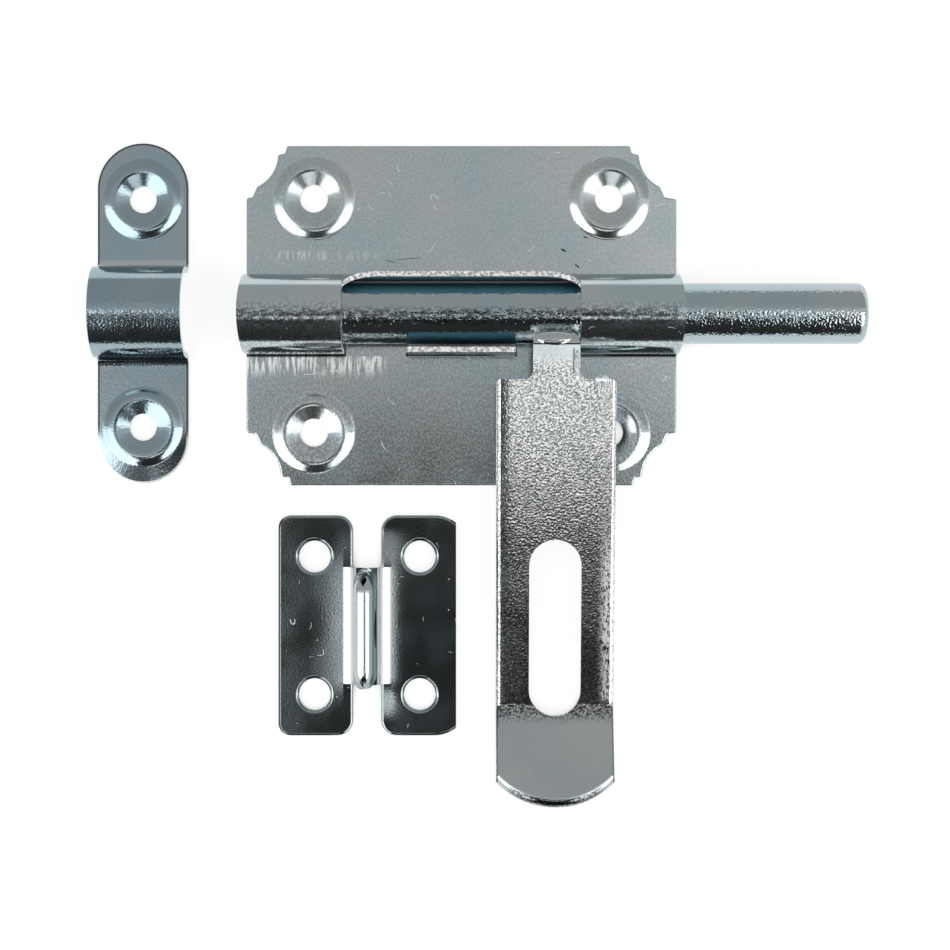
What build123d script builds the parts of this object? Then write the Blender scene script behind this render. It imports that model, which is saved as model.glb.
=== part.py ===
from build123d import *
from math import atan2, cos, degrees, radians, sin, sqrt, tan
import os

# Door bolt set: a round bolt in a pressed guide plate with a hasp, its keeper and its padlock staple.
# The plate lies on its back. +X is the way the bolt shoots, +Z points away from the door.
# The origin is the middle of the plate, on its back face. Sizes are in millimetres.

# Bolt rod
rod_diameter = 14.0
rod_length = 140.0
rod_reach = 42.6
rod_nose_radius = 2.0
rod_tail_radius = 1.0
guide_clearance = 0.15

# Mounting plate
plate_length = 100.0
plate_width = 79.0
plate_sheet = 1.2
plate_edge_roll = 0.4
screw_spacing_x = 68.6
screw_spacing_y = 54.4

# Scalloped corner of the plate
corner_run = 10.1
corner_drop = 12.3
corner_ledge = 2.1
corner_lean = 0.4
corner_riser = 2.4
corner_scallop = 8.4
corner_round = 0.5
corner_drift = 0.7

# Guide channel along the plate
guide_side_clearance = 0.95
guide_bend = 0.4
guide_swell = 0.8
bridge_length = 22.8
wall_height = 13.8
window_corner = 8.5
tab_length = 25.0
tab_height = 13.0
tab_corner = 1.0
notch_edge = 5.8
notch_relief = 0.4
notch_corner = 1.2

# Raised screw boss with a dished middle, on the plate and on the keeper
screw_hole = 6.5
boss_crest = 14.6
boss_rise = 0.9
boss_flank = 2.0
boss_foot = 0.6
boss_seat = 0.0
boss_crest_blend = 3.4
boss_foot_blend = 1.8

# Hasp
hasp_thickness = 2.5
hasp_width = 27.3
hasp_shoulder = 15.4
hasp_shoulder_fillet = 2.0
hasp_shoulder_corner = 1.2
hasp_reach = 113.4
hasp_end_radius = 19.0
hasp_edge_roll = 1.0
hasp_end_roll = 1.8
neck_width = 10.6
neck_gap = 0.3
neck_clearance = 0.4
neck_bend = 0.5
neck_corner = 3.4
weld_gap = 0.15
slot_width = 12.0
slot_length = 41.0
slot_centre = 72.4
bend_reach = 90.6
bend_radius = 1.2
lip_angle = 18.0
floor_gap = 0.1

# Keeper
keeper_length = 79.0
keeper_width = 21.0
keeper_sheet = 1.3
keeper_x = -74.0
keeper_y = 0.5
keeper_side_clearance = 2.2
keeper_top_clearance = 0.5
keeper_bend = 1.8
keeper_screw_spacing = 52.9
keeper_screw_hole = 6.3
keeper_boss_crest = 14.2

# Staple plate
staple_width = 41.3
staple_length = 51.2
staple_sheet = 1.8
staple_x = -21.9
staple_y = -72.0
staple_corner = 2.9
staple_trim = 3.0
staple_trim_corner = 8.0
staple_edge_roll = 0.6
staple_screw_spacing_x = 24.4
staple_screw_spacing_y = 32.0
staple_screw_hole = 7.3
staple_screw_rim = 0.75
staple_notch = 6.5
staple_notch_mouth = 3.6
staple_loop_width = 27.1
staple_loop_height = 20.0
staple_loop_gap = 1.1
staple_loop_corner = 5.0
staple_bend = 3.2
staple_pinch = 2.0
staple_crest_flat = 0.1
staple_fold_end = 1.6
staple_split_length = 3.0
staple_split_width = 1.7
staple_split_y = 11.4
eye_diameter = 9.0
eye_height = 11.5

# Room that a cutting shape has past what it cuts
past = 5.0

# Places worked out from the sizes above
rod_radius = rod_diameter / 2
rod_axis_z = rod_radius + guide_clearance
rod_tip_x = plate_length / 2 + rod_reach
guide_inner = rod_radius + guide_side_clearance
guide_outer = guide_inner + plate_sheet
guide_spring_z = rod_axis_z + rod_radius + guide_clearance - guide_inner
window_half = plate_length / 2 - bridge_length
hasp_x = window_half - neck_gap - neck_width / 2
nose_back_y = neck_clearance - guide_clearance - rod_radius
nose_front_y = nose_back_y + hasp_thickness
staple_loop_half = staple_loop_gap / 2 + staple_sheet
staple_loop_foot = staple_loop_half + staple_bend


def channel_section(half_width, sheet, inner, spring_z, bend):
    """Section across a strip of sheet that runs up over a round channel, drawn in the YZ plane."""
    outer = inner + sheet
    foot = outer + bend
    bend_z = sheet + bend
    with BuildSketch(Plane.YZ) as section:
        with BuildLine():
            Line((-half_width, 0), (-half_width, sheet))
            Line((-half_width, sheet), (-foot, sheet))
            CenterArc((-foot, bend_z), bend, 270, 90)
            Line((-outer, bend_z), (-outer, spring_z))
            CenterArc((0, spring_z), outer, 180, -180)
            Line((outer, spring_z), (outer, bend_z))
            CenterArc((foot, bend_z), bend, 180, 90)
            Line((foot, sheet), (half_width, sheet))
            Line((half_width, sheet), (half_width, 0))
            Line((half_width, 0), (foot, 0))
            CenterArc((foot, bend_z), bend + sheet, 270, -90)
            Line((inner, bend_z), (inner, spring_z))
            CenterArc((0, spring_z), inner, 0, 180)
            Line((-inner, spring_z), (-inner, bend_z))
            CenterArc((-foot, bend_z), bend + sheet, 0, -90)
            Line((-foot, 0), (-half_width, 0))
        make_face()
    return section.sketch


def boss_radius(crest):
    """Radius at which a boss of this crest diameter meets the flat sheet."""
    return crest / 2 + boss_flank + boss_foot


def boss(crest, hole, sheet):
    """Sheet drawn up into a ring round a screw hole and dished down again in the middle."""
    foot = boss_radius(crest)
    top = [
        (foot, sheet),
        (foot - boss_foot, sheet),
        (crest / 2, sheet + boss_rise),
        (hole / 2, sheet + boss_seat),
    ]
    under = [(r, z - sheet) for r, z in reversed(top)]
    with BuildSketch(Plane.XZ) as section:
        with BuildLine():
            Polyline(*top, *under, close=True)
        make_face()
        crests = section.vertices().filter_by_position(Axis.X, crest / 2 - 0.1, crest / 2 + 0.1)
        fillet(crests, boss_crest_blend)
        feet = section.vertices().filter_by_position(Axis.X, foot - boss_foot - 0.1, foot - boss_foot + 0.1)
        fillet(feet, boss_foot_blend)
    return revolve(section.sketch, Axis.Z)


def seat_bosses(sheet_solid, places, crest, hole, sheet):
    """Swap the flat sheet at each place for a boss."""
    ring = boss(crest, hole, sheet)
    for place in places:
        sheet_solid -= Pos(*place) * Cylinder(boss_radius(crest), 2 * sheet + past)
        sheet_solid += Pos(*place) * ring
    return sheet_solid


def corner_piece():
    """What is cut from the plate's +X +Y corner: a step, a scallop and a second step."""
    corner = Vector(plate_length / 2, plate_width / 2)
    first_ledge = corner + Vector(-corner_run + corner_ledge, -corner_ledge)
    second_foot = corner + Vector(-corner_ledge, -corner_drop + corner_lean)
    second_top = second_foot + Vector(-corner_ledge / 2, corner_riser)
    with BuildSketch() as outline:
        with BuildLine():
            Polyline(
                second_top,
                second_foot,
                corner + Vector(0, -corner_drop),
                corner + Vector(past, -corner_drop),
                corner + Vector(past, past),
                corner + Vector(-corner_run, past),
                corner + Vector(-corner_run, 0),
                corner + Vector(-corner_run + corner_lean, -corner_ledge + corner_lean),
                first_ledge,
            )
            RadiusArc(first_ledge, second_top, -corner_scallop)
        make_face()
    return extrude(outline.sketch, plate_sheet * 2, both=True)


def wall_section(x, share):
    """Section of the guide's tall wall at x, from upright (share 0) to rolled over the rod (share 1)."""
    straight = wall_height - guide_spring_z
    plane = Plane(origin=(x, 0, 0), x_dir=(0, 1, 0), z_dir=(1, 0, 0))
    with BuildSketch(plane) as section:
        with BuildLine():
            if share == 0:
                Line((guide_inner, guide_spring_z), (guide_outer, guide_spring_z))
                Line((guide_outer, guide_spring_z), (guide_outer, wall_height))
                Line((guide_outer, wall_height), (guide_inner, wall_height))
                Line((guide_inner, wall_height), (guide_inner, guide_spring_z))
            else:
                radius = guide_inner / share
                centre = (guide_inner - radius, guide_spring_z)
                sweep = degrees(straight / (radius + plate_sheet / 2))
                inside = CenterArc(centre, radius, 0, sweep)
                outside = CenterArc(centre, radius + plate_sheet, 0, sweep)
                Line(inside @ 0, outside @ 0)
                Line(inside @ 1, outside @ 1)
        make_face()
    return section.sketch.face()


def tall_wall():
    """The wall along the window, rolling over into the bridge at each end."""
    start = window_half - window_corner
    middle = Pos(0, guide_inner, guide_spring_z) * Box(
        2 * start,
        plate_sheet,
        wall_height - guide_spring_z,
        align=(Align.CENTER, Align.MIN, Align.MIN),
    )
    turns = [radians(turn) for turn in range(0, 91, 9)]
    sections = [wall_section(start + window_corner * sin(turn), 1 - cos(turn)) for turn in turns]
    roll = loft(sections, ruled=True)
    return middle + roll + mirror(roll, Plane.YZ)


def guide_tab():
    """The short tab between the two notches, with rounded top corners."""
    with BuildSketch(Plane.XZ) as outline:
        Rectangle(tab_length, tab_height - guide_spring_z, align=(Align.CENTER, Align.MIN))
        fillet(outline.vertices().group_by(Axis.Y)[-1], tab_corner)
    return Pos(0, -guide_inner, guide_spring_z) * extrude(outline.sketch, plate_sheet)


def notch_apron(length):
    """Flat sheet left standing in a notch, up to the rod."""
    root = guide_outer + guide_bend
    with BuildSketch() as outline:
        with Locations((0, -root - notch_corner)):
            Rectangle(length, root + notch_corner - notch_edge, align=Align.MIN)
        fillet(outline.vertices().group_by(Axis.Y)[-1], notch_corner)
    return extrude(outline.sketch, plate_sheet)


def plate_blank():
    """Plate with its scalloped corners and the whole guide, before the window and the notches are cut."""
    blank = extrude(
        channel_section(plate_width / 2, plate_sheet, guide_inner, guide_spring_z, guide_bend),
        plate_length / 2,
        both=True,
    )
    corner = corner_piece()
    corner += mirror(corner, Plane.YZ)
    blank -= Pos(-corner_drift, 0, 0) * corner
    blank -= mirror(corner, Plane.XZ)
    steps = [
        edge
        for edge in blank.edges().filter_by(Axis.Z)
        if abs(edge.center().X) > plate_length / 2 - corner_run - corner_drift - 0.01
        and abs(edge.center().Y) > plate_width / 2 - corner_drop - 0.01
    ]
    blank = fillet(steps, corner_round)
    ends = [
        edge
        for edge in blank.edges().filter_by(Axis.X)
        if abs(abs(edge.center().Y) - plate_width / 2) < 0.01 and edge.center().Z > plate_sheet / 2
    ]
    return fillet(ends, plate_edge_roll)


def guide_ends():
    """The slight swell of the guide past the plate at both ends."""
    half_width = guide_outer + guide_bend + plate_sheet
    section = channel_section(half_width, plate_sheet, guide_inner, guide_spring_z, guide_bend)
    guide = extrude(section, plate_length / 2 + guide_swell, both=True)
    guide &= Cylinder(plate_length / 2 + guide_swell, plate_length)
    return guide - Box(plate_length - plate_sheet, plate_length, plate_length)


def make_mounting_plate():
    """Plate, bosses and guide, pressed from one sheet."""
    crown = Pos(0, 0, guide_spring_z) * Box(
        2 * window_half,
        2 * guide_outer + past,
        guide_outer + past,
        align=(Align.CENTER, Align.CENTER, Align.MIN),
    )
    plate = plate_blank() - crown + tall_wall() + guide_tab()
    notch_length = window_half - tab_length / 2
    notch = Box(
        notch_length,
        guide_outer + guide_bend,
        2 * (tab_height + past),
        align=(Align.MIN, Align.MAX, Align.CENTER),
    )
    plate -= Pos(tab_length / 2, 0, 0) * notch
    plate -= Pos(-window_half, 0, 0) * notch
    apron = notch_apron(notch_length - 2 * notch_relief)
    plate += Pos(tab_length / 2 + notch_relief, 0, 0) * apron
    plate += Pos(-window_half + notch_relief, 0, 0) * apron
    screws = [
        (x * screw_spacing_x / 2, y * screw_spacing_y / 2)
        for x in (-1, 1)
        for y in (-1, 1)
    ]
    return seat_bosses(plate, screws, boss_crest, screw_hole, plate_sheet) + guide_ends()


def make_bolt_rod():
    """Round bar with a rounded nose."""
    rod = Pos(rod_tip_x - rod_length / 2, 0, rod_axis_z) * Rot(0, 90, 0) * Cylinder(rod_radius, rod_length)
    ends = rod.edges().filter_by(GeomType.CIRCLE).sort_by(Axis.X)
    rod = fillet(ends[-1], rod_nose_radius)
    ends = rod.edges().filter_by(GeomType.CIRCLE).sort_by(Axis.X)
    return fillet(ends[0], rod_tail_radius)


def hasp_slope():
    """Fall of the hasp's body, from above the guide tab down to the door at its bend."""
    neck_z = tab_height + neck_clearance
    return atan2(neck_z - floor_gap, bend_reach - guide_outer)


def hasp_profile():
    """Side view of the hasp in the YZ plane: nose over the rod's flank, sloping body, bend and lip."""
    slope = hasp_slope()
    rise = radians(lip_angle)
    bend = Vector(-bend_reach, floor_gap)
    lip_run = hasp_reach - bend_reach + past
    lip = bend + Vector(-lip_run, lip_run * tan(rise))
    lip_up = Vector(sin(rise), cos(rise)) * hasp_thickness
    lean = (rise - slope) / 2
    bend_up = Vector(sin(lean), cos(lean)) * (hasp_thickness / cos((slope + rise) / 2))
    neck_under = Vector(nose_back_y, floor_gap + (bend_reach + nose_back_y) * tan(slope))
    neck_top_z = floor_gap + (bend_reach + nose_front_y) * tan(slope) + hasp_thickness / cos(slope)
    neck_top = Vector(nose_front_y, neck_top_z)
    rounds = [
        (bend, bend_radius + hasp_thickness),
        (bend + bend_up, bend_radius),
        (neck_under, neck_bend),
        (neck_top, neck_bend + hasp_thickness),
    ]
    with BuildSketch(Plane.YZ) as side:
        with BuildLine():
            Polyline(
                (nose_back_y, rod_axis_z),
                neck_under,
                bend,
                lip,
                lip + lip_up,
                bend + bend_up,
                neck_top,
                (nose_front_y, rod_axis_z),
                close=True,
            )
        make_face()
        for corner, radius in rounds:
            fillet(side.vertices().sort_by_distance(corner)[0], radius)
    return side.sketch


def hasp_outline():
    """The hasp seen from above: neck, shoulders and slotted body, left long at the end."""
    half_neck = neck_width / 2
    half_body = hasp_width / 2
    right_side = [
        (half_neck, nose_front_y),
        (half_neck, -hasp_shoulder),
        (half_body, -hasp_shoulder),
        (half_body, -hasp_reach - past),
    ]
    left_side = [(-x, y) for x, y in reversed(right_side)]
    radii = (neck_corner, hasp_shoulder_fillet, hasp_shoulder_corner)
    with BuildSketch() as outline:
        with BuildLine():
            Polyline(*right_side, *left_side, close=True)
        make_face()
        for (x, y), radius in zip(right_side, radii):
            right = outline.vertices().sort_by_distance((x, y))[0]
            left = outline.vertices().sort_by_distance((-x, y))[0]
            fillet([left, right], radius)
        with Locations((0, -slot_centre)):
            SlotOverall(slot_length, slot_width, rotation=90, mode=Mode.SUBTRACT)
    return Pos(hasp_x, 0, 0) * outline.sketch


def lip_plane():
    """Plane of the lip's underside, from the middle of its curved end, with Y back along the lip."""
    rise = radians(lip_angle)
    tip = Vector(hasp_x, -hasp_reach, floor_gap + (hasp_reach - bend_reach) * tan(rise))
    return Plane(origin=tip, x_dir=(1, 0, 0), z_dir=(0, sin(rise), cos(rise)))


def hasp_end():
    """Everything up to the hasp's curved end, cut square to the lip."""
    half_body = hasp_width / 2 + past
    arc_drop = hasp_end_radius - sqrt(hasp_end_radius**2 - half_body**2)
    with BuildSketch(lip_plane()) as end:
        with BuildLine():
            Line((-half_body, arc_drop), (-half_body, 2 * hasp_reach))
            Line((-half_body, 2 * hasp_reach), (half_body, 2 * hasp_reach))
            Line((half_body, 2 * hasp_reach), (half_body, arc_drop))
            ThreePointArc((half_body, arc_drop), (0, 0), (-half_body, arc_drop))
        make_face()
    return extrude(end.sketch, hasp_reach, both=True)


def hasp_end_waste():
    """What is worn off the upper edge of the hasp's curved end."""
    lip = lip_plane()
    centre = lip.origin + lip.y_dir * hasp_end_radius
    across = Plane(origin=centre, x_dir=lip.x_dir, z_dir=-lip.y_dir)
    inner = hasp_end_radius - hasp_end_roll
    outer = hasp_end_radius + past
    under = hasp_thickness - hasp_end_roll
    over = 2 * hasp_thickness
    with BuildSketch(across) as section:
        with BuildLine():
            CenterArc((inner, under), hasp_end_roll, 0, 90)
            Polyline((hasp_end_radius, under), (outer, under), (outer, over), (inner, over), (inner, hasp_thickness))
        make_face()
    return revolve(section.sketch, Axis(centre, -lip.z_dir), 180)


def hasp_strip():
    """The hasp's profile at full width, with its long upper edges rolled."""
    half_body = hasp_width / 2
    strip = Pos(hasp_x, 0, 0) * extrude(hasp_profile(), half_body, both=True)
    upper = []
    for side_x in (hasp_x - half_body, hasp_x + half_body):
        edges = strip.edges().filter_by_position(Axis.X, side_x - 0.01, side_x + 0.01)
        upper += edges.filter_by(GeomType.LINE).sort_by(SortBy.LENGTH)[-2:].sort_by(Axis.Z)[-1:]
    return fillet(upper, hasp_edge_roll)


def make_hasp():
    """Flat pressing whose neck sits on the rod's flank and clears the guide tab."""
    blank = extrude(hasp_outline(), hasp_reach, both=True)
    seat = Rot(0, 90, 0) * Cylinder(rod_radius + weld_gap, 2 * plate_length)
    return (hasp_strip() & blank & hasp_end()) - hasp_end_waste() - Pos(0, 0, rod_axis_z) * seat


def make_keeper():
    """Strap with round ends, two bosses and a bridge that the rod shoots into."""
    inner = rod_radius + keeper_side_clearance
    spring_z = rod_axis_z + rod_radius + keeper_top_clearance - inner
    strap = extrude(
        channel_section(keeper_length / 2, keeper_sheet, inner, spring_z, keeper_bend),
        keeper_width / 2,
        both=True,
    )
    with BuildSketch() as outline:
        SlotOverall(keeper_length, keeper_width, rotation=90)
    strap &= extrude(outline.sketch, 2 * rod_diameter, both=True)
    screws = [(0, y * keeper_screw_spacing / 2) for y in (-1, 1)]
    strap = seat_bosses(strap, screws, keeper_boss_crest, keeper_screw_hole, keeper_sheet)
    return Pos(keeper_x, keeper_y, 0) * strap


def staple_bends():
    """The two bends that turn the flanges up into the upright."""
    inside = staple_loop_gap / 2
    bend_z = staple_sheet + staple_bend
    with BuildSketch(Plane.XZ) as section:
        with BuildLine():
            Line((staple_loop_foot, 0), (staple_loop_foot, staple_sheet))
            CenterArc((staple_loop_foot, bend_z), staple_bend, 270, -90)
            Line((staple_loop_half, bend_z), (inside, bend_z))
            CenterArc((staple_loop_foot, bend_z), bend_z, 180, 90)
        make_face()
    bend = extrude(section.sketch, staple_loop_width / 2, both=True)
    return bend + mirror(bend, Plane.YZ)


def staple_flanges():
    """The two flat flanges, with rolled edges all round but on the sheared right side."""
    half_length = staple_length / 2
    half_width = staple_width / 2
    half_notch = staple_notch / 2
    half_loop = staple_loop_width / 2
    with BuildSketch() as outline:
        with Locations((staple_trim / 2, 0)):
            Rectangle(staple_width + staple_trim, staple_length)
        fillet(outline.vertices().group_by(Axis.X)[0], staple_corner)
        fillet(outline.vertices().group_by(Axis.X)[-1], staple_trim_corner)
        for end in (-1, 1):
            with Locations((0, end * half_length)):
                Rectangle(staple_notch, 2 * (half_length - half_loop), mode=Mode.SUBTRACT)
            mouth = [
                outline.vertices().sort_by_distance((x, end * half_length))[0]
                for x in (-half_notch, half_notch)
            ]
            fillet(mouth, staple_notch_mouth)
        Rectangle(2 * staple_loop_foot, staple_loop_width, mode=Mode.SUBTRACT)
        with Locations((half_width, 0)):
            Rectangle(staple_length, staple_length, align=(Align.MIN, Align.CENTER), mode=Mode.SUBTRACT)
    flanges = extrude(outline.sketch, staple_sheet)
    rolled = []
    for edge in flanges.edges().group_by(Axis.Z)[-1]:
        place = edge.position_at(0.5)
        sheared = abs(place.X - half_width) < 0.01
        inner = abs(place.Y) < half_loop + 0.01 and abs(place.X) < staple_loop_foot + 0.01
        if not sheared and not inner:
            rolled.append(edge)
    flanges = fillet(rolled, staple_edge_roll)
    for x, y in [(x, y) for x in (-1, 1) for y in (-1, 1)]:
        place = Pos(x * staple_screw_spacing_x / 2, y * staple_screw_spacing_y / 2, 0)
        flanges -= place * Cylinder(staple_screw_hole / 2, staple_sheet + past)
    rims = [
        edge
        for edge in flanges.edges().filter_by(GeomType.CIRCLE)
        if abs(edge.radius - staple_screw_hole / 2) < 0.01 and edge.center().Z > staple_sheet / 2
    ]
    return fillet(rims, staple_screw_rim)


def staple_upright():
    """The doubled upright: rounded crest and ends, pressed together at its root and open above."""
    root_z = staple_sheet + staple_bend
    tall = staple_loop_height - root_z
    with BuildSketch(Plane.YZ) as side:
        with Locations((0, root_z)):
            Rectangle(staple_loop_width, tall, align=(Align.CENTER, Align.MIN))
        fillet(side.vertices().group_by(Axis.Y)[-1], staple_loop_corner)
    upright = extrude(side.sketch, staple_loop_half, both=True)
    crest = [
        edge
        for edge in upright.edges()
        if abs(abs(edge.center().X) - staple_loop_half) < 0.01 and edge.center().Z > root_z + 0.01
    ]
    upright = fillet(crest, staple_loop_half - staple_crest_flat / 2)
    open_z = root_z + staple_pinch
    corner_z = staple_loop_height - staple_loop_corner
    upright -= Pos(0, 0, open_z) * Box(
        staple_loop_gap,
        staple_loop_width + past,
        corner_z - open_z,
        align=(Align.CENTER, Align.CENTER, Align.MIN),
    )
    upright -= Pos(0, 0, corner_z) * Box(
        staple_loop_gap,
        staple_loop_width - 2 * staple_fold_end,
        staple_loop_corner - staple_sheet,
        align=(Align.CENTER, Align.CENTER, Align.MIN),
    )
    return upright


def staple_split():
    """Pointed opening where the fold spreads at its rounded end."""
    half_width = staple_split_width / 2
    half_length = staple_split_length / 2
    with BuildSketch(Plane.XY.offset(staple_loop_height - staple_loop_corner)) as outline:
        with BuildLine():
            Polyline((half_width, 0), (0, half_length), (-half_width, 0), (0, -half_length), close=True)
        make_face()
    return extrude(outline.sketch, staple_loop_corner + past)


def make_staple_plate():
    """Two flanges joined by a doubled upright that is folded from the same sheet."""
    loop = staple_bends() + staple_upright()
    for end in (-1, 1):
        loop -= Pos(0, end * staple_split_y, 0) * staple_split()
    eye = Pos(0, 0, eye_height) * Rot(0, 90, 0) * Cylinder(eye_diameter / 2, staple_width)
    return Pos(staple_x, staple_y, 0) * (staple_flanges() + loop - eye)


def main():
    """Build every piece and write it to its own file."""
    os.makedirs("parts", exist_ok=True)
    pieces = {
        "mounting_plate": make_mounting_plate(),
        "bolt_rod": make_bolt_rod(),
        "hasp": make_hasp(),
        "keeper": make_keeper(),
        "staple_plate": make_staple_plate(),
    }
    for name, piece in pieces.items():
        export_step(piece, f"parts/{name}.step")


main()
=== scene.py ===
from math import radians

import bpy
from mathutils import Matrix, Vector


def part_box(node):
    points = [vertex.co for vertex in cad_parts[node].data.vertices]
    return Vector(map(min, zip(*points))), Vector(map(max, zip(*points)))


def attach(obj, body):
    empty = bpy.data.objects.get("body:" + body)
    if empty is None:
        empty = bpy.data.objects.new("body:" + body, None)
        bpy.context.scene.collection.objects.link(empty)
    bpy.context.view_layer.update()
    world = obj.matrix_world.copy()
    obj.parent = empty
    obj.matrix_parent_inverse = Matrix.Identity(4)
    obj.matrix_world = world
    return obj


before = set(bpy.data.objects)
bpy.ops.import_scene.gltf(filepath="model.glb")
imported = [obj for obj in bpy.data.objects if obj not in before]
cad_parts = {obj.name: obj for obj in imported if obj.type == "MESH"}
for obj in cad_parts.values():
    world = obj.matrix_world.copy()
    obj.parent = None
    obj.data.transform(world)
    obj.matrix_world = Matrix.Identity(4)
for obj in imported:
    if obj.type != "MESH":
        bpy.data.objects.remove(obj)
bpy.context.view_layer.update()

bl_info = {
    "name": "Door bolt set",
    "version": (1, 0, 0),
    "blender": (4, 5, 0),
    "location": "3D View > Sidebar > Door Bolt",
    "description": "Zinc finishes, weld and studio for a door bolt with its keeper and padlock staple",
    "category": "Object",
}

MM = 0.001

# Places on the pieces, as the masks below use them
PLATE_TOP = 1.2 * MM
WINDOW_HALF = 27.2 * MM
TAB_HALF = 12.6 * MM
GUIDE_FOOT = 9.6 * MM
GUIDE_TOP = 12.0 * MM
GUIDE_END = 49.0 * MM
KEEPER_BOSS = 26.45 * MM
KEEPER_BOSS_REACH = 9.5 * MM
KEEPER_END = 29.0 * MM
KEEPER_HALF_WIDTH = 10.2 * MM
KEEPER_LOWER_END = (-30.0 * MM, -26.0 * MM)
STAPLE_BEND = 5.55 * MM
STAPLE_BEND_EDGE = (5.3 * MM, 5.9 * MM)
STAPLE_UPRIGHT_FOOT = 4.0 * MM
STAPLE_UPRIGHT_HALF = 13.7 * MM
STAPLE_CREST = (18.4 * MM, 19.0 * MM)
STAPLE_RIM = 19.4 * MM
HASP_BEND = -90.0 * MM
HASP_NECK_EDGE = 25.45 * MM
LIP_SIDE = (13.1 * MM, 13.35 * MM)
LIP_CURVE = -100.0 * MM

# Soft rise and fall of surfaces that are given by shading alone
STAPLE_LIFT_REACH = 14.0 * MM
STAPLE_LIFT_LEFT = 2.1
STAPLE_LIFT_RIGHT = 5.2
HASP_FALL_WIDTH = 6.0 * MM
HASP_FALL = -10.0
KEEPER_FALL = -0.09

# How much rougher or deeper the plating is in each kind of place
PATCH_ROUGH = 0.04
SHADE_ROUGH = 0.4
SCUFF_AND_HIGHLIGHT_ROUGH = 0.2
BARE_ROUGH = 0.35
TORN_ROUGH = 0.25
SCRATCH_DEPTH = -0.02 * MM

# Edges of each part of the light, as distance to the side or up the picture over height, and its strength
LOWEST_HEIGHT = 0.02
WEDGE_FRONT = (-0.375, -0.31)
WEDGE_SPREAD = (0.34, 0.46)
HOLE_SIDE = (0.105, 0.135)
HOLE_FRONT = (-0.2, -0.18)
GAP_INNER = (0.11, 0.135)
GAP_OUTER = (0.26, 0.30)
GAP_FRONT = (-0.14, -0.10)
GAP_DARK = 0.97
SHELF_INNER = (-0.13, -0.11)
SHELF_OUTER = (-0.26, -0.2)
SHELF_FRONT = (-0.09, -0.03)
SHELF_DARK = 0.5
PANEL_SIDE = (0.12, 0.3)
PANEL_FAR = (1.2, 2.5)
PANEL_FADE = 0.35
GLARE_SIDE = (0.05, 0.09)
GLARE_FRONT = (0.16, 0.24)
GLARE_RISE = 0.35
CEILING_FRONT = (0.1, 0.5)
CEILING_NEAR = 1.07
CEILING_DEEP = 0.88
CEILING_EDGE = (-0.015, 0.055)
STRAY_LIGHT = 0.045

# Floor: its height, how far up it looks for pieces over it, when that darkens it, and its own light
FLOOR_DROP = -0.3 * MM
FLOOR_GAP = 12.0 * MM
FLOOR_OPEN = (0.12, 0.4)
FLOOR_GLOW = 1.12
FLOOR_GLOW_SHARE = 0.75

# Dark knocks on the plate: place, half sizes in millimetres and turn
KNOCKS = (
    (23.7, 15.2, (0.75, 0.28), -0.5),
    (28.8, 18.2, (0.6, 0.2), -0.35),
    (26.9, 11.5, (0.85, 0.2), -0.7),
    (-12.5, 13.2, (3.4, 0.09), 0.08),
    (-16.4, 12.6, (1.4, 0.1), -0.25),
)


# Sizes and colours that a user would change


class BoltZinc(bpy.types.PropertyGroup):
    """Colours of the zinc plating and of the painted shade and highlights on it."""

    plate: bpy.props.FloatVectorProperty(
        name="Plate", description="Zinc on the mounting plate", subtype="COLOR",
        size=4, min=0.0, max=1.0, default=(0.555, 0.6, 0.605, 1.0))
    rod: bpy.props.FloatVectorProperty(
        name="Rod", description="Zinc on the rod", subtype="COLOR",
        size=4, min=0.0, max=1.0, default=(0.47, 0.53, 0.545, 1.0))
    hasp: bpy.props.FloatVectorProperty(
        name="Hasp", description="Zinc on the hasp", subtype="COLOR",
        size=4, min=0.0, max=1.0, default=(0.6, 0.608, 0.605, 1.0))
    keeper: bpy.props.FloatVectorProperty(
        name="Keeper", description="Zinc on the keeper", subtype="COLOR",
        size=4, min=0.0, max=1.0, default=(0.37, 0.445, 0.48, 1.0))
    staple: bpy.props.FloatVectorProperty(
        name="Staple plate", description="Zinc on the staple plate", subtype="COLOR",
        size=4, min=0.0, max=1.0, default=(0.36, 0.4, 0.41, 1.0))
    film: bpy.props.FloatVectorProperty(
        name="Blue film", description="Tint that the blue film lays over the zinc in patches",
        subtype="COLOR", size=4, min=0.0, max=1.0, default=(0.88, 0.97, 1.0, 1.0))
    haze: bpy.props.FloatVectorProperty(
        name="Grey haze", description="Tint that lies over the hasp in patches", subtype="COLOR",
        size=4, min=0.0, max=1.0, default=(0.93, 0.95, 0.95, 1.0))
    # Painted shade: the blue colour laid on the guide's inner faces in place of the dark reflections there
    painted_shade: bpy.props.FloatVectorProperty(
        name="Painted shade", description="Blue painted shade inside the guide", subtype="COLOR",
        size=4, min=0.0, max=1.0, default=(0.2, 0.42, 0.5, 1.0))
    # Painted shade: a dark teal colour laid on the right flank of the staple's upright
    deep: bpy.props.FloatVectorProperty(
        name="Dark painted shade", description="Dark teal painted shade on the staple's upright", subtype="COLOR",
        size=4, min=0.0, max=1.0, default=(0.07, 0.14, 0.16, 1.0))
    # Also the colour of the painted highlights on the keeper and the staple
    cut: bpy.props.FloatVectorProperty(
        name="Cut edge", description="Bright torn steel on sheared edges", subtype="COLOR",
        size=4, min=0.0, max=1.0, default=(0.95, 0.96, 0.96, 1.0))
    tear: bpy.props.FloatVectorProperty(
        name="Torn hollow", description="Dark hollows in the torn steel", subtype="COLOR",
        size=4, min=0.0, max=1.0, default=(0.3, 0.31, 0.31, 1.0))
    # Also the colour of the painted shade lines along edges and in the crease
    mark: bpy.props.FloatVectorProperty(
        name="Dark mark", description="Colour of specks and knocks in the plating", subtype="COLOR",
        size=4, min=0.0, max=1.0, default=(0.06, 0.065, 0.07, 1.0))


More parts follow.
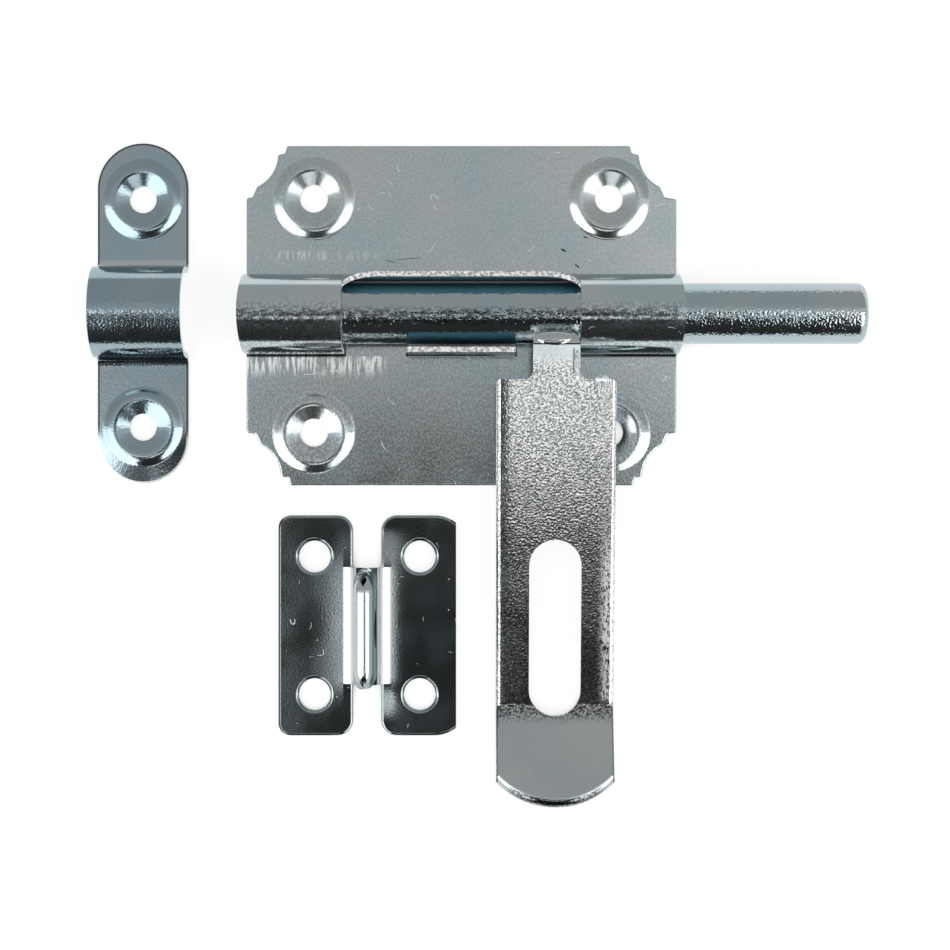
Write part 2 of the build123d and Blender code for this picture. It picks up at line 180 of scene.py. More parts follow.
class BoltWeld(bpy.types.PropertyGroup):
    """Sizes and places of the weld bead and the burrs on the hasp's neck."""

    bead_size: bpy.props.FloatVectorProperty(
        name="Bead size", description="Half sizes of the weld bead", subtype="TRANSLATION", size=3,
        default=(4.9 * MM, 1.8 * MM, 1.15 * MM))
    bead_place: bpy.props.FloatVectorProperty(
        name="Bead place", description="Middle of the weld bead", subtype="TRANSLATION", size=3,
        default=(21.1 * MM, -6.3 * MM, 15.35 * MM))
    bead_bend: bpy.props.FloatProperty(
        name="Bead bend", description="Bow of the bead along the rod", unit="ROTATION", default=radians(25.0))
    bead_tilt: bpy.props.FloatProperty(
        name="Bead tilt", description="Lean of the bead over the rod", unit="ROTATION", default=radians(18.0))
    ridge_size: bpy.props.FloatVectorProperty(
        name="Ridge size", description="Half sizes of the burr along the neck", subtype="TRANSLATION", size=3,
        default=(0.55 * MM, 5.2 * MM, 0.6 * MM))
    ridge_place: bpy.props.FloatVectorProperty(
        name="Ridge place", description="Middle of the burr along the neck", subtype="TRANSLATION", size=3,
        default=(26.15 * MM, -10.6 * MM, 15.75 * MM))
    lump_size: bpy.props.FloatVectorProperty(
        name="Lump size", description="Half sizes of the burr on the shoulder", subtype="TRANSLATION", size=3,
        default=(1.6 * MM, 1.1 * MM, 0.9 * MM))
    lump_place: bpy.props.FloatVectorProperty(
        name="Lump place", description="Middle of the burr on the shoulder", subtype="TRANSLATION", size=3,
        default=(31.7 * MM, -15.3 * MM, 14.8 * MM))
    slope: bpy.props.FloatProperty(
        name="Slope", description="Fall of the hasp away from the rod", unit="ROTATION", default=radians(9.2))


class BoltStudio(bpy.types.PropertyGroup):
    """Floor, light and camera."""

    floor_size: bpy.props.FloatProperty(
        name="Floor", description="Width of the floor", unit="LENGTH", default=12.0)
    panel: bpy.props.FloatProperty(
        name="Side panels", description="Brightness of the panels on each side of the camera", default=3.0)
    front: bpy.props.FloatProperty(
        name="Front panel", description="Brightness of the panel just below the camera", default=1.6)
    ceiling: bpy.props.FloatProperty(
        name="Grey ceiling", description="Brightness of the grey ceiling above the plate", default=0.66)
    camera_place: bpy.props.FloatVectorProperty(
        name="Camera", description="Place of the camera", subtype="TRANSLATION", size=3,
        default=(3.15 * MM, -37.06 * MM, 485.0 * MM))
    lens: bpy.props.FloatProperty(name="Lens", description="Focal length in millimetres", default=78.86)


# Small helpers for node trees


def add(tree, kind, **settings):
    """Add a node and set its own settings."""
    node = tree.nodes.new(kind)
    for name, value in settings.items():
        setattr(node, name, value)
    return node


def feed(tree, socket, value):
    """Give a socket a number, a colour or a link."""
    if isinstance(value, bpy.types.NodeSocket):
        tree.links.new(value, socket)
    else:
        socket.default_value = value


def math(tree, operation, *values, clamp=False):
    """Result of a math node."""
    node = add(tree, "ShaderNodeMath", operation=operation, use_clamp=clamp)
    for socket, value in zip(node.inputs, values):
        feed(tree, socket, value)
    return node.outputs[0]


def ramp(tree, value, start, stop, low=0.0, high=1.0):
    """Smooth step of a value from low to high between start and stop."""
    node = add(tree, "ShaderNodeMapRange", interpolation_type="SMOOTHSTEP")
    for socket, number in zip(node.inputs, (value, start, stop, low, high)):
        feed(tree, socket, number)
    return node.outputs[0]


def fade(tree, value, start, stop, level=1.0):
    """Smooth step of a value from a level down to nothing between start and stop."""
    return ramp(tree, value, start, stop, level, 0.0)


def product(tree, *masks):
    """All masks at once."""
    result = masks[0]
    for mask in masks[1:]:
        result = math(tree, "MULTIPLY", result, mask)
    return result


def above(tree, value, limit):
    """1 where a value is over a limit."""
    return math(tree, "GREATER_THAN", value, limit)


def below(tree, value, limit):
    """1 where a value is under a limit."""
    return math(tree, "LESS_THAN", value, limit)


def size_of(tree, value):
    """A value without its sign."""
    return math(tree, "ABSOLUTE", value)


def distance(tree, across, along):
    """Length of a step from its two parts at right angles."""
    return math(tree, "SQRT", math(tree, "ADD", product(tree, across, across), product(tree, along, along)))


def most(tree, *masks):
    """The largest of several masks."""
    result = masks[0]
    for mask in masks[1:]:
        result = math(tree, "MAXIMUM", result, mask)
    return result


def band(tree, value, rise, fall, level=1.0):
    """Mask that rises between two places and falls between two others, given in millimetres."""
    return product(tree, ramp(tree, value, rise[0] * MM, rise[1] * MM),
                   fade(tree, value, fall[0] * MM, fall[1] * MM, level))


def mix_colour(tree, share, first, second, blend="MIX"):
    """Colour between first and second."""
    node = add(tree, "ShaderNodeMix", data_type="RGBA", blend_type=blend)
    feed(tree, node.inputs[0], share)
    feed(tree, node.inputs[6], first)
    feed(tree, node.inputs[7], second)
    return node.outputs[2]


def noise(tree, place, scale, detail=2.0, rough=0.5):
    """Grey noise at a place."""
    node = add(tree, "ShaderNodeTexNoise", noise_dimensions="3D")
    feed(tree, node.inputs["Vector"], place)
    feed(tree, node.inputs["Scale"], scale)
    feed(tree, node.inputs["Detail"], detail)
    feed(tree, node.inputs["Roughness"], rough)
    return node.outputs[0]


def stretched(tree, place, scale, turn=0.0):
    """Place turned about Z and scaled along each axis."""
    node = add(tree, "ShaderNodeMapping")
    feed(tree, node.inputs["Vector"], place)
    node.inputs["Rotation"].default_value = (0.0, 0.0, turn)
    node.inputs["Scale"].default_value = scale
    return node.outputs[0]


def object_place(tree):
    """Object coordinates, in metres."""
    return add(tree, "ShaderNodeTexCoord").outputs["Object"]


def axes_of(tree, vector):
    """The three numbers of a vector."""
    node = add(tree, "ShaderNodeSeparateXYZ")
    feed(tree, node.inputs[0], vector)
    return node.outputs


def facing(tree):
    """The three numbers of the surface's own direction."""
    return axes_of(tree, add(tree, "ShaderNodeTexCoord").outputs["Normal"])


def from_middle(tree, box):
    """Place from the middle of a piece's box, as three numbers."""
    low, high = box
    shift = add(tree, "ShaderNodeVectorMath", operation="SUBTRACT")
    feed(tree, shift.inputs[0], object_place(tree))
    shift.inputs[1].default_value = ((low.x + high.x) / 2.0, (low.y + high.y) / 2.0, 0.0)
    return axes_of(tree, shift.outputs[0])


def new_group(name, inputs, outputs):
    """Empty node group with its sockets."""
    group = bpy.data.node_groups.new(name, "ShaderNodeTree")
    for label, kind, default in inputs:
        socket = group.interface.new_socket(label, in_out="INPUT", socket_type=kind)
        socket.default_value = default
    for label, kind in outputs:
        group.interface.new_socket(label, in_out="OUTPUT", socket_type=kind)
    entry = group.nodes.new("NodeGroupInput")
    out = group.nodes.new("NodeGroupOutput")
    return group, entry.outputs, out.inputs


def placed(tree, group, **values):
    """Group placed in a tree with its own values."""
    node = add(tree, "ShaderNodeGroup", node_tree=group)
    for label, value in values.items():
        feed(tree, node.inputs[label.replace("_", " ").capitalize()], value)
    return node.outputs


# Effects that the finishes share


def plating_grain():
    """Fine lumps of electroplated zinc: their height, their light and dark flecks, which give both the
    grain's own tone and painted glints, and slow patches.
    """
    group, given, out = new_group(
        "plating_grain",
        [("Grain", "NodeSocketFloat", 1600.0), ("Stretch", "NodeSocketVector", (1.0, 1.0, 1.0))],
        [("Height", "NodeSocketFloat"), ("Fleck", "NodeSocketFloat"), ("Patch", "NodeSocketFloat")])
    place = object_place(group)
    mapping = add(group, "ShaderNodeMapping")
    feed(group, mapping.inputs["Vector"], place)
    feed(group, mapping.inputs["Scale"], given["Stretch"])
    lumps = noise(group, mapping.outputs[0], given["Grain"], 0.5, 0.5)
    feed(group, out["Height"], lumps)
    shifted = add(group, "ShaderNodeVectorMath", operation="ADD")
    feed(group, shifted.inputs[0], mapping.outputs[0])
    shifted.inputs[1].default_value = (0.31, 0.17, 0.23)
    flecks = noise(group, shifted.outputs[0], given["Grain"], 1.0, 0.5)
    feed(group, out["Fleck"], ramp(group, flecks, 0.4, 0.6))
    feed(group, out["Patch"], ramp(group, noise(group, place, 90.0, 2.0), 0.35, 0.65))
    return group


def plating_cast():
    """Slow drift of the blue film over the zinc."""
    group, given, out = new_group(
        "plating_cast",
        [("Zinc", "NodeSocketColor", (0.5, 0.5, 0.5, 1.0)),
         ("Film", "NodeSocketColor", (0.9, 0.95, 1.0, 1.0))],
        [("Colour", "NodeSocketColor")])
    drift = ramp(group, noise(group, object_place(group), 45.0, 3.0, 0.6), 0.38, 0.62)
    feed(group, out["Colour"], mix_colour(group, drift, given["Zinc"], given["Film"], blend="MULTIPLY"))
    return group


def handling_marks():
    """Thin curved scratches, small dark specks and small bright dots."""
    group, given, out = new_group(
        "handling_marks",
        [("Amount", "NodeSocketFloat", 0.5)],
        [("Scratch", "NodeSocketFloat"), ("Speck", "NodeSocketFloat"), ("Dot", "NodeSocketFloat")])
    place = object_place(group)
    level = math(group, "SUBTRACT", noise(group, place, 130.0, 0.6), 0.5)
    line = fade(group, size_of(group, level), 0.0006, 0.0018)
    kept = ramp(group, noise(group, stretched(group, place, (1.0, 1.6, 1.0), 0.6), 210.0, 1.0), 0.63, 0.67)
    feed(group, out["Scratch"], product(group, line, kept, given["Amount"]))
    for label, scale, limit, share in (("Speck", 170.0, 0.035, 0.8), ("Dot", 420.0, 0.05, 0.6)):
        dots = add(group, "ShaderNodeTexVoronoi", feature="F1")
        feed(group, dots.inputs["Vector"], place)
        dots.inputs["Scale"].default_value = scale
        near = fade(group, dots.outputs["Distance"], limit, limit * 1.5)
        chosen = ramp(group, axes_of(group, dots.outputs["Color"])[0], share, share + 0.02)
        feed(group, out[label], product(group, near, chosen, given["Amount"]))
    return group


def torn_edge():
    """Ragged face of sheared sheet: its light and dark tone and its height."""
    group, given, out = new_group(
        "torn_edge",
        [("Grain", "NodeSocketFloat", 1500.0)],
        [("Tone", "NodeSocketFloat"), ("Height", "NodeSocketFloat")])
    ragged = noise(group, object_place(group), given["Grain"], 3.0, 0.7)
    feed(group, out["Tone"], ramp(group, ragged, 0.38, 0.6))
    feed(group, out["Height"], ragged)
    return group


# Finishes


def zinc_material(name, zinc, looks, grain, depth, rough, film=None, inner=None, smooth=None,
                  speckle=0.0, calm=None, cut=None, shade=None, light=None, dark=None, form=None,
                  stretch=(1.0, 1.0, 1.0), marks=0.5, tear=0.1 * MM):
    """Zinc plating from its colours, the fineness and depth of its grain and its roughness.

    calm scales the grain. cut, shade, light and dark are masks: shade lays painted shade, light lays light
    scuffs and painted highlights, and dark lays dark marks and painted shade. form is a height in metres.
    """
    material = bpy.data.materials.new(name)
    material.use_nodes = True
    tree = material.node_tree
    shader = tree.nodes["Principled BSDF"]
    groups = bpy.data.node_groups
    lumps = placed(tree, groups["plating_grain"], grain=grain, stretch=stretch)
    mark = placed(tree, groups["handling_marks"], amount=marks)
    grainy = calm(tree) if calm else 1.0
    # Dim and bright flecks: the grain's own tone and painted glints of the grain
    dim = [value * (1.0 - speckle) for value in zinc[:3]] + [1.0]
    bright = [min(value * (1.0 + 0.6 * speckle), 1.0) for value in zinc[:3]] + [1.0]
    flecked = mix_colour(tree, lumps["Fleck"], dim, bright)
    flecked = mix_colour(tree, grainy, tuple(smooth or zinc), flecked)
    colour = placed(tree, groups["plating_cast"], zinc=flecked, film=film or looks.film)["Colour"]
    roughness = math(tree, "MULTIPLY_ADD", lumps["Patch"], PATCH_ROUGH, rough)
    height = math(tree, "MULTIPLY", math(tree, "MULTIPLY", lumps["Height"], depth), grainy)
    height = math(tree, "MULTIPLY_ADD", mark["Scratch"], SCRATCH_DEPTH, height)
    if form:
        height = math(tree, "ADD", height, form(tree))
    # Painted shade: faces that the mask picks take the shade colour and grow rougher
    if shade:
        painted_shade = shade(tree)
        colour = mix_colour(tree, painted_shade, colour, inner or looks.painted_shade)
        roughness = math(tree, "MULTIPLY_ADD", painted_shade, SHADE_ROUGH, roughness)
    # Light scuffs and painted highlights, both in the cut colour and a little rougher
    if light:
        scuffs_and_highlights = light(tree)
        colour = mix_colour(tree, scuffs_and_highlights, colour, looks.cut)
        roughness = math(tree, "MULTIPLY_ADD", scuffs_and_highlights, SCUFF_AND_HIGHLIGHT_ROUGH, roughness)
    # Dark marks, dark flecks and painted shade lines, in the mark colour
    if dark:
        colour = mix_colour(tree, dark(tree), colour, looks.mark)
    colour = mix_colour(tree, mark["Speck"], colour, looks.mark)
    bare = math(tree, "MAXIMUM", mark["Dot"], mark["Scratch"])
    colour = mix_colour(tree, bare, colour, looks.cut)
    roughness = math(tree, "MULTIPLY_ADD", bare, BARE_ROUGH, roughness)
    if cut:
        torn = cut(tree)
        ragged = placed(tree, groups["torn_edge"])
        colour = mix_colour(tree, torn, colour, mix_colour(tree, ragged["Tone"], looks.tear, looks.cut))
        roughness = math(tree, "MULTIPLY_ADD", torn, TORN_ROUGH, roughness)
        rise = math(tree, "MULTIPLY", ragged["Height"], torn)
        height = math(tree, "MULTIPLY_ADD", rise, tear, height)
    bump = add(tree, "ShaderNodeBump")
    bump.inputs["Strength"].default_value = 1.0
    bump.inputs["Distance"].default_value = 1.0
    feed(tree, bump.inputs["Height"], height)
    feed(tree, shader.inputs["Base Color"], colour)
    feed(tree, shader.inputs["Roughness"], roughness)
    feed(tree, shader.inputs["Normal"], bump.outputs[0])
    shader.inputs["Metallic"].default_value = 1.0
    return material


def finish_node(node, material):
    """Put a finish on one of the loaded pieces."""
    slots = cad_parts[node].material_slots
    if not slots:
        raise RuntimeError(f"{node} has no material slot")
    for slot in slots:
        slot.material = material


# Masks and soft heights of each piece


def plate_cuts(tree):
    """Sheared faces of the mounting plate: its rim, the ends of the guide, the wall's and the tab's tops."""
    x, y, z = axes_of(tree, object_place(tree))
    turn_x, turn_y, turn_z = facing(tree)
    rim = product(tree, below(tree, size_of(tree, turn_z), 0.3), below(tree, z, 1.25 * MM),
                  above(tree, size_of(tree, y), 10.0 * MM))
    ends = above(tree, size_of(tree, turn_x), 0.9)
    wall = product(tree, above(tree, turn_z, 0.5), below(tree, turn_y, 0.25), above(tree, z, 9.0 * MM),
                   above(tree, y, 2.0 * MM), below(tree, size_of(tree, x), WINDOW_HALF + 0.05 * MM))
    tab = product(tree, above(tree, turn_z, 0.3), below(tree, y, -6.0 * MM),
                  below(tree, size_of(tree, x), TAB_HALF), above(tree, z, 11.0 * MM))
    return most(tree, rim, ends, wall, tab)


def plate_shade(tree):
    """Inner faces of the guide's wall and tab, where a blue painted shade stands in for the dark reflections
    inside the guide.
    """
    y, z = axes_of(tree, object_place(tree))[1:]
    turn_y = facing(tree)[1]
    inside = below(tree, math(tree, "MULTIPLY", turn_y, y), -1.0 * MM)
    return product(tree, inside, above(tree, z, 0.2 * MM), below(tree, size_of(tree, y), GUIDE_FOOT))


def plate_calm(tree):
    """Grain of the plate: strong on the guide's crown, slight from the guide down and faint above it."""
    y, z = axes_of(tree, object_place(tree))[1:]
    crown = (4.0 * MM, 10.0 * MM)
    middle = (0.5 * MM, 2.5 * MM)
    lower = product(tree, fade(tree, y, *middle), ramp(tree, z, *crown, 1.0, 5.0),
                    ramp(tree, y, -34.0 * MM, -12.0 * MM, 1.0, 0.5))
    upper = product(tree, ramp(tree, y, *middle), ramp(tree, z, *crown, 0.3, 0.1))
    return math(tree, "ADD", lower, upper)


def spot(tree, x, y, size, turn):
    """Small oblong mark on the plate, as a mask, from its place and half sizes in millimetres."""
    mapping = add(tree, "ShaderNodeMapping", vector_type="TEXTURE")
    feed(tree, mapping.inputs["Vector"], object_place(tree))
    mapping.inputs["Location"].default_value = (x * MM, y * MM, PLATE_TOP)
    mapping.inputs["Rotation"].default_value = (0.0, 0.0, turn)
    mapping.inputs["Scale"].default_value = (size[0] * MM, size[1] * MM, 1.0 * MM)
    reach = add(tree, "ShaderNodeVectorMath", operation="LENGTH")
    feed(tree, reach.inputs[0], mapping.outputs[0])
    return fade(tree, reach.outputs["Value"], 0.7, 1.1)


def top_flecks(tree):
    """Dark flecks along the top of the rod and of the guide."""
    place = object_place(tree)
    x, y, z = axes_of(tree, place)
    flecks = noise(tree, stretched(tree, place, (0.5, 1.0, 1.0)), 1500.0, 2.0)
    noise_mask = ramp(tree, flecks, 0.42, 0.56, 0.15, 0.75)
    top = product(tree, above(tree, z, GUIDE_TOP), below(tree, x, GUIDE_END))
    return product(tree, noise_mask, top, band(tree, y, (-3.4, -1.8), (0.0, 1.6)))


def plate_knocks_and_shade(tree):
    """Dark knocks and a crack beside the window, painted shade in the crease at the guide's foot and dark
    flecks on its crown.
    """
    x, y, z = axes_of(tree, object_place(tree))
    # Painted shade: a dark line in the crease at the guide's lower foot
    crease = product(tree, band(tree, y, (-9.8, -9.55), (-9.3, -9.1), 0.8), below(tree, z, 2.4 * MM),
                     above(tree, size_of(tree, x), WINDOW_HALF))
    knocks = [spot(tree, *knock) for knock in KNOCKS]
    return most(tree, crease, top_flecks(tree), *knocks)


def plate_scuffs(tree):
    """Light upright scuffs along the guide's lower foot and under the upper left boss."""
    place = object_place(tree)
    x, y, z = axes_of(tree, place)
    upright = noise(tree, stretched(tree, place, (1.0, 0.12, 1.0)), 1500.0, 2.0, 0.6)
    streaks = ramp(tree, upright, 0.44, 0.6)
    low = product(tree, band(tree, y, (-15.4, -11.4), (-9.6, -9.3)),
                  fade(tree, x, -20.0 * MM, -16.0 * MM))
    high = product(tree, band(tree, y, (12.4, 13.2), (14.4, 15.6)),
                   band(tree, x, (-46.0, -42.0), (-32.0, -9.0), 0.4))
    return product(tree, streaks, most(tree, low, high), above(tree, z, 0.6 * MM))


def keeper_calm(tree):
    """Grain of the keeper: full on the lower half of its bridge, fainter on its flats."""
    y = axes_of(tree, object_place(tree))[1]
    upper = ramp(tree, y, 2.0 * MM, 4.0 * MM, 1.0, 0.3)
    lower = ramp(tree, y, -13.0 * MM, -10.0 * MM, 0.4, 1.0)
    return product(tree, upper, lower)


def keeper_form(tree):
    """Height that lets the keeper's lower end fall away around its boss."""
    x, y = from_middle(tree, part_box("keeper"))[:2]
    reach = distance(tree, x, math(tree, "SUBTRACT", y, -KEEPER_BOSS))
    past_boss = math(tree, "SUBTRACT", reach, KEEPER_BOSS_REACH)
    fall = fade(tree, y, -33.0 * MM, -25.0 * MM, KEEPER_FALL)
    return product(tree, math(tree, "MAXIMUM", past_boss, 0.0), fall)


def keeper_rim(tree, x, y, z):
    """Narrow rim all round the flat strap."""
    past_end = math(tree, "MAXIMUM", math(tree, "SUBTRACT", size_of(tree, y), KEEPER_END), 0.0)
    rim = ramp(tree, distance(tree, x, past_end), KEEPER_HALF_WIDTH - 0.25 * MM, KEEPER_HALF_WIDTH, 0.0, 0.85)
    return product(tree, rim, below(tree, z, 1.6 * MM))


def keeper_edge_shade(tree):
    """Painted shade as a dark line along the keeper's sheared edge, but not round its lower end."""
    x, y, z = from_middle(tree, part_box("keeper"))
    return product(tree, keeper_rim(tree, x, y, z), ramp(tree, y, *KEEPER_LOWER_END))


def keeper_painted_highlights(tree):
    """Painted highlights: a bright rim round the keeper's lower end and a lighter upper foot of its bridge.
    """
    x, y, z = from_middle(tree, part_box("keeper"))
    end = product(tree, keeper_rim(tree, x, y, z), fade(tree, y, *KEEPER_LOWER_END))
    return most(tree, end, band(tree, y, (10.2, 10.6), (11.8, 12.6), 0.45))


def staple_form(tree):
    """Height that lifts the flanges softly towards the upright, more on the right."""
    x, y = from_middle(tree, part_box("staple_plate"))[:2]
    away = math(tree, "MAXIMUM", size_of(tree, x), STAPLE_BEND)
    lift = math(tree, "MAXIMUM", math(tree, "SUBTRACT", STAPLE_LIFT_REACH, away), 0.0)
    steep = ramp(tree, x, -1.0 * MM, 1.0 * MM, STAPLE_LIFT_LEFT, STAPLE_LIFT_RIGHT)
    return product(tree, lift, lift, steep, fade(tree, size_of(tree, y), 12.0 * MM, 23.0 * MM))


def staple_rim_shade(tree):
    """Painted shade on the outer rims of the staple's flanges."""
    away = size_of(tree, from_middle(tree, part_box("staple_plate"))[0])
    turn_x, turn_y, turn_z = facing(tree)
    side = product(tree, above(tree, away, STAPLE_RIM), ramp(tree, size_of(tree, turn_x), 0.05, 0.25))
    end = product(tree, below(tree, turn_y, -0.1), above(tree, away, 8.0 * MM),
                  below(tree, turn_z, 0.97), 0.8)
    return most(tree, side, end)


def staple_bend_highlights(tree):
    """Painted highlights on the bends between the staple's flanges and its upright, and on the upright's
    crest.
    """
    x, y, z = from_middle(tree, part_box("staple_plate"))
    beside = fade(tree, size_of(tree, x), *STAPLE_BEND_EDGE, 0.85)
    bends = product(tree, beside, below(tree, z, STAPLE_UPRIGHT_FOOT))
    crest = ramp(tree, z, *STAPLE_CREST, 0.0, 0.35)
    along = fade(tree, size_of(tree, y), STAPLE_UPRIGHT_HALF - 0.4 * MM, STAPLE_UPRIGHT_HALF)
    return product(tree, most(tree, bends, crest), along)


def staple_shade(tree):
    """Painted shade on the right flank of the upright, in the dark teal colour."""
    place = from_middle(tree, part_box("staple_plate"))
    return product(tree, above(tree, place[2], STAPLE_UPRIGHT_FOOT), above(tree, facing(tree)[0], 0.6),
                   above(tree, place[0], 0.0))


def hasp_cuts(tree):
    """Sheared sides, slot and end of the hasp."""
    turn = facing(tree)
    return most(tree, above(tree, size_of(tree, turn[0]), 0.9), below(tree, size_of(tree, turn[2]), 0.4))


def hasp_form(tree):
    """Height that lets the hasp fall away more and more towards its left edge."""
    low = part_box("hasp")[0]
    x = axes_of(tree, object_place(tree))[0]
    strip = math(tree, "MAXIMUM", math(tree, "SUBTRACT", low.x + HASP_FALL_WIDTH, x), 0.0)
    return product(tree, strip, strip, HASP_FALL)


def hasp_scuffs(tree):
    """Rough light wear along the hasp's right edge, heavier beside the slot."""
    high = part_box("hasp")[1]
    place = object_place(tree)
    x, y = axes_of(tree, place)[:2]
    streaks = noise(tree, stretched(tree, place, (1.0, 0.4, 1.0)), 2200.0, 3.0, 0.6)
    noise_mask = ramp(tree, streaks, 0.38, 0.52)
    heavy = ramp(tree, y, -60.0 * MM, -42.0 * MM, 0.95, 0.25)
    body = ramp(tree, y, HASP_BEND - 0.5 * MM, HASP_BEND + 1.5 * MM)
    edge = ramp(tree, x, high.x - 4.4 * MM, high.x - 2.0 * MM)
    return product(tree, noise_mask, edge, heavy, body)


def hasp_painted_shade(tree):
    """Painted shade as dark lines along the lip and the neck and a dark band on the lip's curved end; also
    dark flecks past the bend.
    """
    low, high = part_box("hasp")
    place = object_place(tree)
    x, y = axes_of(tree, place)[:2]
    turn_y, turn_z = facing(tree)[1:]
    away = size_of(tree, math(tree, "SUBTRACT", x, (low.x + high.x) / 2.0))
    sides = product(tree, ramp(tree, away, *LIP_SIDE, 0.0, 0.85),
                    below(tree, y, HASP_BEND - 1.5 * MM))
    ragged = ramp(tree, noise(tree, place, 1500.0, 2.0), 0.4, 0.55, 0.5, 0.95)
    end = product(tree, ragged, fade(tree, turn_y, -0.1, 0.15), ramp(tree, turn_z, 0.3, 0.45),
                  ramp(tree, away, 9.0 * MM, 12.0 * MM, 1.0, 0.1), below(tree, y, LIP_CURVE))
    line = size_of(tree, math(tree, "SUBTRACT", x, HASP_NECK_EDGE))
    neck = product(tree, fade(tree, line, 0.1 * MM, 0.3 * MM, 0.8),
                   band(tree, y, (-15.0, -13.0), (-9.0, -8.0)))
    flecks = product(tree, ramp(tree, noise(tree, place, 1900.0, 1.0), 0.44, 0.56),
                     ramp(tree, y, HASP_BEND - 5.0 * MM, HASP_BEND - 1.6 * MM, 0.0, 0.95),
                     below(tree, y, HASP_BEND + 0.1 * MM))
    return most(tree, sides, end, neck, flecks)


def hasp_calm(tree):
    """Grain of the hasp: full on its body, faint on the neck and fading out past the bend."""
    y = axes_of(tree, object_place(tree))[1]
    body = ramp(tree, y, HASP_BEND - 5.0 * MM, HASP_BEND)
    return product(tree, body, ramp(tree, y, -13.5 * MM, -9.5 * MM, 1.0, 0.15))


# Steps, one for each piece or group and one for the stage


class DOORBOLT_OT_effects(bpy.types.Operator):
    """Build the grain, colour drift and marks that every finish uses."""

    bl_idname = "doorbolt.effects"
    bl_label = "Plating effects"

    def execute(self, context):
        plating_grain()
        plating_cast()
        handling_marks()
        torn_edge()
        return {"FINISHED"}


class DOORBOLT_OT_mounting_plate(bpy.types.Operator):
    """Finish the pressed mounting plate."""

    bl_idname = "doorbolt.mounting_plate"
    bl_label = "Mounting plate"

    def execute(self, context):
        looks = context.scene.doorbolt_zinc
        finish_node("mounting_plate", zinc_material(
            "plate_zinc", looks.plate, looks, grain=2400.0, depth=0.007 * MM, rough=0.13, speckle=0.24,
            calm=plate_calm, cut=plate_cuts, shade=plate_shade, light=plate_scuffs, dark=plate_knocks_and_shade,
            stretch=(1.0, 0.6, 1.0), marks=0.5))
        return {"FINISHED"}


class DOORBOLT_OT_bolt_rod(bpy.types.Operator):
    """Finish the drawn rod."""

    bl_idname = "doorbolt.bolt_rod"
    bl_label = "Bolt rod"

    def execute(self, context):
        looks = context.scene.doorbolt_zinc
        finish_node("bolt_rod", zinc_material(
            "rod_zinc", looks.rod, looks, grain=2000.0, depth=0.075 * MM, rough=0.06, dark=top_flecks,
            marks=0.1))
        return {"FINISHED"}


class DOORBOLT_OT_hasp(bpy.types.Operator):
    """Finish the grainy hasp."""

    bl_idname = "doorbolt.hasp"
    bl_label = "Hasp"

    def execute(self, context):
        looks = context.scene.doorbolt_zinc
        finish_node("hasp", zinc_material(
            "hasp_zinc", looks.hasp, looks, grain=2200.0, depth=0.02 * MM, rough=0.08, film=looks.haze,
            smooth=looks.plate, speckle=0.55, calm=hasp_calm, cut=hasp_cuts, light=hasp_scuffs,
            dark=hasp_painted_shade, form=hasp_form, marks=0.1))
        return {"FINISHED"}


def lump_start(name, size, coarse, rise):
    """Small uneven lump of metal at the origin, from its half sizes and the width and height of its dents."""
    bpy.ops.object.select_all(action="DESELECT")
    bpy.ops.mesh.primitive_uv_sphere_add(segments=40, ring_count=20, radius=1.0)
    piece = bpy.context.object
    piece.name = name
    bpy.ops.object.mode_set(mode="EDIT")
    bpy.ops.mesh.select_all(action="SELECT")
    bpy.ops.transform.resize(value=size)
    bpy.ops.object.mode_set(mode="OBJECT")
    dents = bpy.data.textures.new(name + "_dents", "CLOUDS")
    dents.noise_scale = coarse
    uneven = piece.modifiers.new("uneven", "DISPLACE")
    uneven.texture = dents
    uneven.strength = rise
    bpy.ops.object.modifier_apply(modifier=uneven.name)
    bpy.ops.object.shade_smooth()
    return piece


def put(piece, place, turn):
    """Turn a piece's mesh about X and move it to its place."""
    bpy.ops.object.select_all(action="DESELECT")
    piece.select_set(True)
    bpy.context.view_layer.objects.active = piece
    bpy.ops.object.mode_set(mode="EDIT")
    bpy.ops.mesh.select_all(action="SELECT")
    bpy.ops.transform.rotate(value=turn, orient_axis="X", center_override=(0.0, 0.0, 0.0))
    bpy.ops.transform.translate(value=place)
    bpy.ops.object.mode_set(mode="OBJECT")


class DOORBOLT_OT_weld(bpy.types.Operator):
    """Model the weld bead that joins the hasp to the rod."""

    bl_idname = "doorbolt.weld"
    bl_label = "Weld bead"

    def execute(self, context):
        looks = context.scene.doorbolt_zinc
        weld = context.scene.doorbolt_weld
        bead = lump_start("weld_bead", weld.bead_size, coarse=3.0 * MM, rise=0.35 * MM)
        droop = bead.modifiers.new("droop", "SIMPLE_DEFORM")
        droop.deform_method = "BEND"
        droop.deform_axis = "Z"
        droop.angle = weld.bead_bend
        bpy.ops.object.modifier_apply(modifier=droop.name)
        put(bead, weld.bead_place, weld.bead_tilt)
        zinc = zinc_material(
            "weld_zinc", looks.hasp, looks, grain=1300.0, depth=0.008 * MM, rough=0.08, marks=0.0)
        bead.data.materials.append(zinc)
        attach(bead, "hasp")
        return {"FINISHED"}


